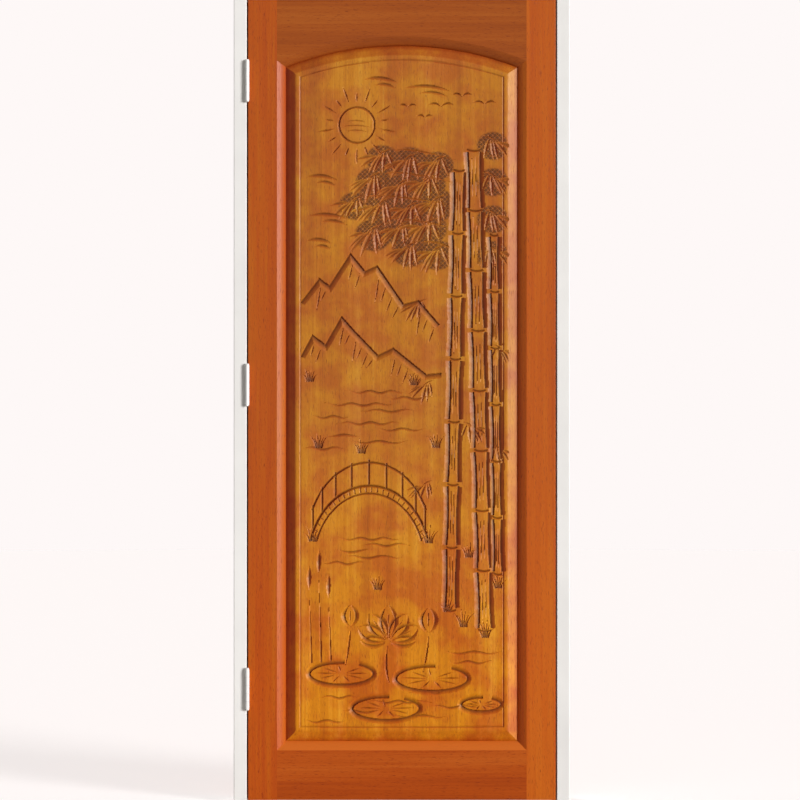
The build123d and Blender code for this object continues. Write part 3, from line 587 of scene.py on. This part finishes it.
def bridge():
    """An arched footbridge: two bowed beams with sleepers between them, and posts under a bowed rail."""
    x, h = BRIDGE
    rail = sweep_round((x, h + RAIL_LIFT), BRIDGE_SPAN, BRIDGE_RISE, 158, 22)
    found = [cut(rail, 3.4, ends="square")]
    for share, depth in ((1, 4.2), (0.9, 3)):
        beam = sweep_round(BRIDGE, share * BRIDGE_SPAN, share * BRIDGE_RISE, 162, 18)
        found.append(cut(beam, depth, ends="square"))
    for i in range(9):
        foot = oval_point(BRIDGE, BRIDGE_SPAN, BRIDGE_RISE, 156 - 16.5 * i)
        found.append(cut(line(foot, (foot[0], foot[1] + RAIL_LIFT + 6)), 3.4, ends="square"))
    for i in range(26):
        ends = [oval_point(BRIDGE, s * BRIDGE_SPAN, s * BRIDGE_RISE, 160 - 5.6 * i) for s in (0.92, 0.98)]
        found.append(cut(line(*ends), 1.8, ends="square"))
    return found


TUFTS = (
    (206, 402, 1.1), (152, 428, 1), (112, 466, 0.9), (238, 524, 0.9), (-222, 640, 0.9), (66, 636, 1),
    (-100, 858, 0.8), (84, 872, 0.85), (-206, 872, 0.8), (166, 600, 0.8), (-60, 520, 0.8),
    (-228, 1036, 0.7), (30, 1028, 0.7),
)
LOTUS = (-34, 392)
LOTUS_PETALS = ((0, 92, 34), (34, 84, 34), (64, 84, 34), (88, 70, 20))
BUDS = ((-128, 424, 0.9), (66, 408, 1.05))
LILY_PADS = ((-150, 312, 78), (74, 300, 88), (-40, 226, 82), (196, 236, 48))
REEDS = ((-230, 520), (-206, 560), (-182, 500))


def tuft(x, h, size):
    """A tuft of grass: six blades that fan out from one root, deepest at the root."""
    found = []
    for i in range(6):
        lean = i / 2.5 - 1
        tall = size * (46 - 14 * abs(lean) + 6 * math.sin(3.7 * i + x))
        blade = bow((x + 7 * lean, h), (x + 9 * lean, h + tall / 2 + 6), (x + 30 * lean * size, h + tall))
        found.append(cut(blade, 3, ends="rooted"))
    return found


def petal(root, angle, length, width):
    """A pointed petal: two stop cuts that bow out and meet at the tip, and a vein."""
    tip, start = polar(root, angle, length), polar(root, angle, 0.06 * length)
    found = [cut(line(polar(root, angle, 0.3 * length), polar(root, angle, 0.8 * length)), 1.8)]
    for side, left, right in ((-1, STEEP, BROAD), (1, BROAD, STEEP)):
        bend = polar(polar(root, angle, 0.55 * length), angle + 90, side * width)
        found.append(cut(bow(start, bend, tip), 3.8, left, right))
    return found


def lotus():
    """An open flower of seven petals on its stalk, and two buds."""
    x, h = LOTUS
    found = [cut(bow((x, h - 6), (x - 12, h - 62), (x + 4, h - 106)), 3.2)]
    for lean, length, width in LOTUS_PETALS:
        for angle in sorted({90 - lean, 90 + lean}):
            found += petal(LOTUS, angle, length, width)
    for x, h, size in BUDS:
        found += petal((x, h), 90, 66 * size, 30 * size)
        found.append(cut(bow((x, h), (x - 2, h - 40), (x - 14 * size, h - 96)), 3))
    return found


def lily_pad(x, h, half_width):
    """A floating round leaf seen aslant, with a notch and veins."""
    half_height = half_width / 3
    found = [cut(sweep_round((x, h), half_width, half_height, 84, 416), 4.2, STEEP, BROAD, ends="square")]
    for i in range(9):
        ends = [oval_point((x, h), s * half_width, s * half_height, 96 + 38.5 * i) for s in (0.16, 0.86)]
        found.append(cut(line(*ends), 2))
    return found


def reed(x, h):
    """A bulrush: a long stalk under a spindle."""
    stalk = cut(bow((x + 6, 340), (x + 4, (340 + h) / 2), (x, h - 2)), 2.6, ends="rooted")
    return [stalk, cut(line((x, h), (x + 1, h + 62)), 3.4, 1.9, 1.9)]


def gathered(maker, places):
    """The cuts of a motif repeated at several places."""
    return [found for place in places for found in maker(*place)]


SCENERY = (
    (0.7, sun()),
    (0.8, mist()),
    (0.9, birds()),
    (0.75, ridge(FAR_RIDGE, 74) + ridge(NEAR_RIDGE, 62)),
    (0.85, gathered(culm_sides, CULMS)),
    (1.0, gathered(culm_flutes, CULMS)),
    (0.6, foliage()),
    (0.85, bridge()),
    (0.7, gathered(ripples, (FAR_WATER, WATER_UNDER_BRIDGE, POND_WATER, POND_EDGE))),
    (0.95, gathered(tuft, TUFTS)),
    (0.75, lotus()),
    (0.8, gathered(lily_pad, LILY_PADS)),
    (0.8, gathered(reed, REEDS)),
)


def keel_depths(count, depth, ends):
    """Depth of the keel at each point of a cut: constant, rising from a root, or tapering to both ends."""
    share = np.linspace(0, 1, count)
    if ends in ("square", "closed"):
        return np.full(count, float(depth))
    if ends == "rooted":
        return depth * (1 - share**1.5)
    return depth * np.sin(np.pi * share) ** 0.8


def window(low, high, x, h):
    """Rows and columns of the grid that cover this rectangle."""
    first, last = np.searchsorted(x, (low[0], high[0]))
    first, last = max(first - 1, 0), min(last + 1, len(x))
    if first >= last:
        return slice(0, 0), slice(0, 0)
    lowest = np.searchsorted(h[:, first:last].max(1), low[1])
    highest = np.searchsorted(h[:, first:last].min(1), high[1])
    return slice(max(lowest - 1, 0), highest + 1), slice(first, last)


def carve(x, h, groups):
    """Depth, its slopes along x and h, and stain with painted shade, over the grid.

    Between two points of a cut, bounded by the lines that halve its bends, the depth is the keel's less the
    distance to the side divided by that side's spread. Where cuts cross, the deepest holds, with its slope.
    Stain is the motif's own at the keel's deepest, with painted shade that darkens it towards the keel, and has
    gone where less than 0.23 of that depth is left.
    """
    depth, slope_x, slope_h, stain = (np.zeros_like(h) for _ in range(4))
    for ink, cuts in groups:
        for path, deepest, left, right, ends in cuts:
            points = np.array(path, float)
            keel = keel_depths(len(points), deepest, ends)
            steps = np.diff(points, axis=0)
            lengths = np.hypot(*steps.T)
            ahead = steps / lengths[:, None]
            first, last = (ahead[-1], ahead[0]) if ends == "closed" else (ahead[0], ahead[-1])
            bisect = np.vstack([first + ahead[0], ahead[:-1] + ahead[1:], ahead[-1] + last])
            for i, (u, step, length) in enumerate(zip(ahead, steps, lengths)):
                reach = 1.5 * max(left, right) * max(keel[i], keel[i + 1]) + 1.5
                ends_box = np.sort(points[i : i + 2], axis=0)
                rows, columns = window(ends_box[0] - reach, ends_box[1] + reach, x, h)
                across, up = x[columns][None, :] - points[i, 0], h[rows, columns] - points[i, 1]
                if not up.size:
                    continue
                side = up * u[0] - across * u[1]
                spread = np.where(side > 0, left, right)
                rise = (keel[i + 1] - keel[i]) / length
                here = keel[i] + rise * (across * u[0] + up * u[1]) - np.abs(side) / spread
                inside = across * bisect[i, 0] + up * bisect[i, 1] >= 0
                inside &= (across - step[0]) * bisect[i + 1, 0] + (up - step[1]) * bisect[i + 1, 1] <= 0
                deeper = inside & (here > depth[rows, columns])
                fall = np.sign(side) / spread
                depth[rows, columns][deeper] = here[deeper]
                slope_x[rows, columns][deeper] = (rise * u[0] + fall * u[1])[deeper]
                slope_h[rows, columns][deeper] = (rise * u[1] - fall * u[0])[deeper]
                # Dark stain and painted shade, darkest at the keel and gone up the walls.
                keel_shade = np.clip(STAIN_GAIN * here / deepest - STAIN_LOSS, 0, 1)
                stain[rows, columns][deeper] = (ink * keel_shade)[deeper]
    return depth, slope_x, slope_h, stain


HATCH_PITCH = 8
HATCH_DEPTH = 0.9
HATCH_SLOPE = 0.7
GROUND_SHADE = 0.9


def hatched_ground(x, h):
    """Stain, and depth with its slopes, of the ground behind the sprays: a lattice of shallow V lines.

    The ground is the union of ovals under the sprays. It is stained dark, and darkest between the lines, whose
    depth is the hatch's less the distance to the line times the hatch's slope.
    """
    cover = np.zeros_like(h)
    for root_x, root_h, size, side in spray_places():
        across = (x[None, :] - root_x - 24 * side) / (46 * size)
        up = (h - root_h + 26) / (40 * size)
        cover = np.maximum(cover, np.clip(4 * (1 - across**2 - up**2), 0, 1))
    depth, slope_x, slope_h = (np.zeros_like(h) for _ in range(3))
    shade = GROUND_SHADE * cover
    for lean in (-1, 1):
        off_line = (x[None, :] + lean * h) / math.sqrt(2) % HATCH_PITCH - HATCH_PITCH / 2
        here = cover * (HATCH_DEPTH - np.abs(off_line) * HATCH_SLOPE)
        deeper = here > depth
        fall = -HATCH_SLOPE * cover * np.sign(off_line) / math.sqrt(2)
        depth[deeper] = here[deeper]
        slope_x[deeper] = fall[deeper]
        slope_h[deeper] = (lean * fall)[deeper]
        shade *= np.clip(0.3 + np.abs(off_line) / 2.2, 0, 1)
    return depth, slope_x, slope_h, shade


BORDER_INSIDE_BEVEL = 11
BORDER_INSET = 1000 * (BEVEL_WIDTH - SHOULDER_INSET) + BORDER_INSIDE_BEVEL
BORDER_DEPTH = 1.4
BORDER_SLOPE = 0.55
BORDER_STAIN_AND_SHADE = 0.3
SHOULDER_WIDTH = 9.0


def border(x, h):
    """Depth and slopes of the rounded shoulder and the V line, and stain with painted shade deepest at the V
    line's keel, by distance to the nearest edge.

    Over the shoulder, the depth falls from its drop to nothing as the square of what is left of its width.
    """
    from_centre = np.hypot(x[None, :], h - FIELD_CENTRE)
    ways = [
        (FIELD_HALF_WIDTH - np.abs(x)[None, :] + 0 * h, -np.sign(x)[None, :] + 0 * h, 0 * h),
        (h - FIELD_FOOT, 0 * h, 1 + 0 * h),
        (FIELD_RADIUS - from_centre, -x[None, :] / from_centre, -(h - FIELD_CENTRE) / from_centre),
    ]
    ways[2][0][h < FIELD_CENTRE] = 1000
    inset, inward_x, inward_h = ways[0]
    for other, other_x, other_h in ways[1:]:
        nearer = other < inset
        inset, inward_x, inward_h = (
            np.where(nearer, b, a) for a, b in ((inset, other), (inward_x, other_x), (inward_h, other_h))
        )
    groove = np.maximum(BORDER_DEPTH - BORDER_SLOPE * np.abs(inset - BORDER_INSET), 0)
    bend = np.maximum(1 - inset / SHOULDER_WIDTH, 0)
    drop = 1000 * SHOULDER_DROP
    fall = np.where(groove > 0, -BORDER_SLOPE * np.sign(inset - BORDER_INSET), 0)
    fall -= 2 * drop / SHOULDER_WIDTH * bend
    return groove + drop * bend**2, fall * inward_x, fall * inward_h, groove / BORDER_DEPTH


COLUMNS = round(2 * FIELD_HALF_WIDTH / CELL)
ROWS = BANDS * round((FIELD_CENTRE + FIELD_RADIUS - FIELD_FOOT) / CELL / BANDS) + 1

x = np.linspace(-FIELD_HALF_WIDTH, FIELD_HALF_WIDTH, COLUMNS)
top = FIELD_CENTRE + np.sqrt(FIELD_RADIUS**2 - x**2)
h = FIELD_FOOT + np.linspace(0, 1, ROWS)[:, None] * (top - FIELD_FOOT)[None, :]
depth, slope_x, slope_h, shade = hatched_ground(x, h)
cut_stain_and_shade = np.zeros_like(h)
border_cut = border(x, h)
carved = carve(x, h, SCENERY)
# Stain and painted shade of the V line and of the cuts, deepest at their keels.
for part, stained in ((border_cut[:3], BORDER_STAIN_AND_SHADE * border_cut[3]), (carved[:3], carved[3])):
    deeper = part[0] > np.maximum(depth, LEAST_CUT)
    depth = np.where(deeper, part[0], depth)
    slope_x, slope_h = np.where(deeper, part[1], slope_x), np.where(deeper, part[2], slope_h)
    cut_stain_and_shade = np.where(deeper, stained, cut_stain_and_shade)
    shade = np.where(deeper, 0.0, shade)


def carved_band(name, rows):
    """A closed slab: the carved grid in front, walls at its edges, and a flat back against the board."""
    field_y = MIDDLE_Y - FIELD_HALF
    where = np.stack([x[None, :] + 0 * h[rows], 0 * h[rows], h[rows]], -1) / 1000 + (0, 0, FOOT_Z)
    where[:, :, 1] = field_y + depth[rows] / 1000
    count_rows, count_columns = where.shape[:2]
    index = np.arange(count_rows * count_columns).reshape(count_rows, count_columns)
    rim = np.concatenate([index[0], index[1:, -1], index[-1, -2::-1], index[-2:0:-1, 0]])
    behind = where.reshape(-1, 3)[rim]
    behind[:, 1] = field_y + CARVED_LAYER
    back = len(index.ravel()) + np.arange(len(rim))
    walls = np.stack([rim, back, np.roll(back, -1), np.roll(rim, -1)], -1)
    front = quads_between(count_rows, count_columns, False)
    band = object_from(name, np.concatenate([where.reshape(-1, 3), behind]), [front, walls, back[None, ::-1]])
    normals = np.stack([slope_x[rows], -np.ones_like(depth[rows]), slope_h[rows]], -1).reshape(-1, 3)
    normals /= np.linalg.norm(normals, axis=1, keepdims=True)
    rest = np.zeros((walls.size + len(back), 3))
    band.data.normals_split_custom_set(np.concatenate([normals[front.ravel()], rest]).tolist())
    for attribute, values in (("cut_stain_and_shade", cut_stain_and_shade[rows]), ("ground_stain", shade[rows])):
        layer = band.data.attributes.new(attribute, "FLOAT", "POINT")
        values = np.concatenate([values.ravel(), np.zeros(len(rim))])
        layer.data.foreach_set("value", values.astype(np.float32))
    return band


# Colour of the dark stain and painted shade in the cuts.
CUT_STAIN_AND_SHADE = "#3f1909"
GROUND_STAIN = "#5b341d"
GOUGE_HEIGHT = 7

carved_wood, tree = new_material("carved_field_hardwood")
colour, height = panel_figure(tree)
# Painted shade where the carved surface leans up or to the hinge side.
colour = lean_shaded(tree, colour)
place = add(tree, "TexCoord").outputs["Object"]
gouged = add(tree, "TexNoise", {"Vector": place, "Scale": 55, "Detail": 1}).outputs[0]
height = add(tree, "Math", {0: gouged, 1: GOUGE_HEIGHT, 2: height}, operation="MULTIPLY_ADD").outputs[0]
for attribute, code in (("ground_stain", GROUND_STAIN), ("cut_stain_and_shade", CUT_STAIN_AND_SHADE)):
    share = add(tree, "Attribute", attribute_name=attribute).outputs["Fac"]
    colour = add(tree, "Mix", {0: share, 6: colour, 7: code}, data_type="RGBA").outputs[2]
varnish(tree, colour, height, PORE_DEPTH)

for number in range(BANDS):
    step = (ROWS - 1) // BANDS
    band = carved_band(f"carved_field_{number + 1}", slice(number * step, (number + 1) * step + 1))
    band.data.materials.append(carved_wood)
    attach(band, "leaf")
    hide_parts("carved_panel")

# Frame: two jambs and a head, housed together, with planted stops that the leaf closes against.
# They are planed softwood under two coats of white satin paint, brushed along each board.
# Bristle marks are 1.5 mm apart and 0.3 m long, coarser than real ones so that they show.
FRAME_PAINT = ("#efece8", "#f8f5f1")
BRISTLE_DEPTH = 0.00012


def satin_paint(name, along):
    """Material of one painted board of the frame."""
    material, tree = new_material(name)
    places = grain_places(tree, along, (0.4, 0.7, 0.1))
    stroke_places = add(tree, "VectorMath", {0: places, 1: (650, 650, 3)}, operation="MULTIPLY").outputs[0]
    stroke = add(tree, "TexNoise", {"Vector": stroke_places, "Scale": 1, "Detail": 2}).outputs[0]
    cloud = add(tree, "TexNoise", {"Vector": places, "Scale": 7, "Detail": 3}).outputs[0]
    tint = add(tree, "ValToRGB", {"Fac": cloud}, [(0.3, FRAME_PAINT[0]), (0.7, FRAME_PAINT[1])]).outputs[0]
    relief = add(tree, "Bump", {"Height": stroke, "Strength": 0.5, "Distance": BRISTLE_DEPTH}).outputs[0]
    shader = add(tree, "BsdfPrincipled", {"Base Color": tint, "Roughness": 0.38, "Normal": relief}).outputs[0]
    add(tree, "OutputMaterial", {"Surface": shader})
    return material


upright_paint = satin_paint("satin_paint_upright_boards", "Z")
level_paint = satin_paint("satin_paint_level_boards", "X")
for node in ("hinge_jamb", "lock_jamb", "hinge_stop", "lock_stop"):
    dress(node, upright_paint)
for node in ("frame_head", "head_stop"):
    dress(node, level_paint)

# Hinges: three butt hinges with five knuckles and a loose pin, let in flush between jamb and leaf.
# They are folded steel under white stove enamel, which leaves a faint orange peel 2 mm across.
HINGE_ENAMEL = "#f0eeea"
PEEL_DEPTH = 0.00008

enamel, tree = new_material("stove_enamelled_steel")
place = add(tree, "TexCoord").outputs["Object"]
peel = add(tree, "TexNoise", {"Vector": place, "Scale": 500, "Detail": 1}).outputs[0]
relief = add(tree, "Bump", {"Height": peel, "Strength": 0.3, "Distance": PEEL_DEPTH}).outputs[0]
shell = {"Base Color": HINGE_ENAMEL, "Roughness": 0.24, "Coat Weight": 0.4, "Coat Roughness": 0.1}
shell |= {"Normal": relief}
add(tree, "OutputMaterial", {"Surface": add(tree, "BsdfPrincipled", shell).outputs[0]})
for level in ("top", "middle", "bottom"):
    for part in ("frame_plate", "leaf_plate", "pin"):
        dress(f"{level}_hinge_{part}", enamel)

# Screws: countersunk and slotted, four in each hinge plate and two into the top of each jamb.
# They are turned steel, zinc plated: a blue-grey shine with a dull bloom in patches.
ZINC = ("#8f969c", "#c5cad0")

zinc, tree = new_material("zinc_plated_steel")
place = add(tree, "TexCoord").outputs["Object"]
bloom = add(tree, "TexNoise", {"Vector": place, "Scale": 300, "Detail": 3}).outputs[0]
tint = add(tree, "ValToRGB", {"Fac": bloom}, [(0.35, ZINC[0]), (0.6, ZINC[1])]).outputs[0]
dulled = add(tree, "MapRange", {0: bloom, 1: 0.35, 2: 0.6, 3: 0.5, 4: 0.28}).outputs[0]
shader = add(tree, "BsdfPrincipled", {"Base Color": tint, "Metallic": 1.0, "Roughness": dulled}).outputs[0]
add(tree, "OutputMaterial", {"Surface": shader})
dress("head_screws", zinc)
for level in ("top", "middle", "bottom"):
    for part in ("frame_screws", "leaf_screws"):
        dress(f"{level}_hinge_{part}", zinc)

# Studio: a pale floor, a white backdrop, a broad lamp from the right and a weaker one behind.
# The eye and every reflection see the pale backdrop, and the fill that lights the door is dimmer on the left.
# The long lens looks straight at the middle of the leaf from far away, as the photograph does.
PIXEL = 0.002476
LENS = 150
SENSOR = 36
LEAF_CENTRE_PX = 401.75
IMAGE = 800
BACKDROP = "#fef8f7"
FILL_LEFT = 0.10
FILL_RIGHT = 0.275
FLOOR_COLOUR = "#e6e0de"
FLOOR_BOUNCE = "#a09d98"
FLOOR_LIFT = 0.37
FLOOR_REACH = 14


def seen_directly(tree):
    """1 for what the camera sees, also in a reflection or through glass, and 0 for light that bounces."""
    path = add(tree, "LightPath").outputs
    seen = add(tree, "Math", {0: path["Is Camera Ray"], 1: path["Is Glossy Ray"]}, operation="MAXIMUM")
    seen = {0: seen.outputs[0], 1: path["Is Transmission Ray"]}
    return add(tree, "Math", seen, operation="MAXIMUM").outputs[0]


world = bpy.data.worlds.new("studio")
bpy.context.scene.world = world
world.use_nodes = True
tree = world.node_tree
tree.nodes.clear()
seen = seen_directly(tree)
direction = add(tree, "SeparateXYZ", {0: add(tree, "TexCoord").outputs["Generated"]}).outputs
strength = add(tree, "MapRange", {0: direction["X"], 1: -1.0, 2: 1.0, 3: FILL_LEFT, 4: FILL_RIGHT}).outputs[0]
fill = add(tree, "Background", {"Color": "#ffffff", "Strength": strength}).outputs[0]
shown = add(tree, "Background", {"Color": BACKDROP, "Strength": 1.0}).outputs[0]
mixed = add(tree, "MixShader", {0: seen, 1: fill, 2: shown}).outputs[0]
add(tree, "OutputWorld", {"Surface": mixed})


def lamp(name, azimuth, elevation, strength, width):
    """A far lamp, by its direction, strength and width in degrees. Azimuth is from the front to the right."""
    made = bpy.data.objects.new(name, bpy.data.lights.new(name, "SUN"))
    bpy.context.scene.collection.objects.link(made)
    made.data.energy = strength
    made.data.angle = math.radians(width)
    turn, rise = math.radians(azimuth), math.radians(elevation)
    towards = Vector((math.sin(turn) * math.cos(rise), -math.cos(turn) * math.cos(rise), math.sin(rise)))
    made.rotation_mode = "QUATERNION"
    made.rotation_quaternion = towards.to_track_quat("Z", "Y")


lamp("key", 48, 9, 3.35, 20)
lamp("back", 215, 35, 2.4, 30)

floor_shell, tree = new_material("pale_floor")
seen = seen_directly(tree)
colour = add(tree, "Mix", {0: seen, 6: FLOOR_BOUNCE, 7: FLOOR_COLOUR}, data_type="RGBA").outputs[2]
matt = add(tree, "BsdfDiffuse", {"Color": colour}).outputs[0]
lift = add(tree, "Math", {0: seen, 1: FLOOR_LIFT}, operation="MULTIPLY").outputs[0]
glow = add(tree, "Emission", {"Color": BACKDROP, "Strength": lift}).outputs[0]
add(tree, "OutputMaterial", {"Surface": add(tree, "AddShader", {0: matt, 1: glow}).outputs[0]})
turns = np.linspace(0, 2 * np.pi, 64, endpoint=False)
ring = np.stack([FLOOR_REACH * np.cos(turns), FLOOR_REACH * np.sin(turns), 0 * turns + cad_box[0].z], 1)
floor = object_from("floor", ring, [np.arange(len(ring))[None, :]])
floor.data.materials.append(floor_shell)

camera = bpy.data.objects.new("camera", bpy.data.cameras.new("camera"))
bpy.context.scene.collection.objects.link(camera)
camera.data.lens = LENS
camera.data.sensor_width = SENSOR
camera.rotation_euler = (math.pi / 2, 0, 0)
distance = IMAGE * PIXEL * LENS / SENSOR
camera.location = (
    -(LEAF_CENTRE_PX - IMAGE / 2) * PIXEL, FACE_Y - distance, (LEAF_LOW.z + LEAF_HIGH.z) / 2
)
camera.data.clip_end = 100
bpy.context.scene.camera = camera
bpy.context.scene.view_settings.view_transform = "Standard"
